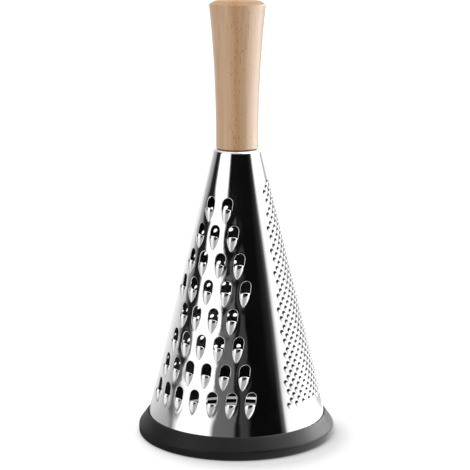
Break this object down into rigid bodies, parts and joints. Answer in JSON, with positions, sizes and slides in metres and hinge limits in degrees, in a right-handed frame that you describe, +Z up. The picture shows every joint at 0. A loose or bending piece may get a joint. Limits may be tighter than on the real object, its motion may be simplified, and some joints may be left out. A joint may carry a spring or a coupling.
{
  "type": "cone grater",
  "caption": "Standing conical steel grater with coarse, fine and medium faces, a flared wooden handle on top and a dark non-slip ring round its foot.",
  "frame": {"origin": "middle of the foot ring's underside, on the surface that the grater stands on", "axes": "+Z up along the cone's axis towards the handle; -Y faces the viewer of the picture, with the coarse face turned a little to -X"},
  "size_m": [0.112, 0.112, 0.245],
  "materials": {
    "polished_steel": "mirror polished stainless sheet",
    "black_rubber": "satin",
    "beech": "turned and oiled",
    "plain_steel": "plain"
  },
  "bodies": {
    "root": {"grater_cone": "polished_steel", "foot_ring": "black_rubber", "handle": "beech", "neck_cup": "plain_steel", "screw_washer": "plain_steel", "handle_screw": "plain_steel"}
  },
  "joints": []
}
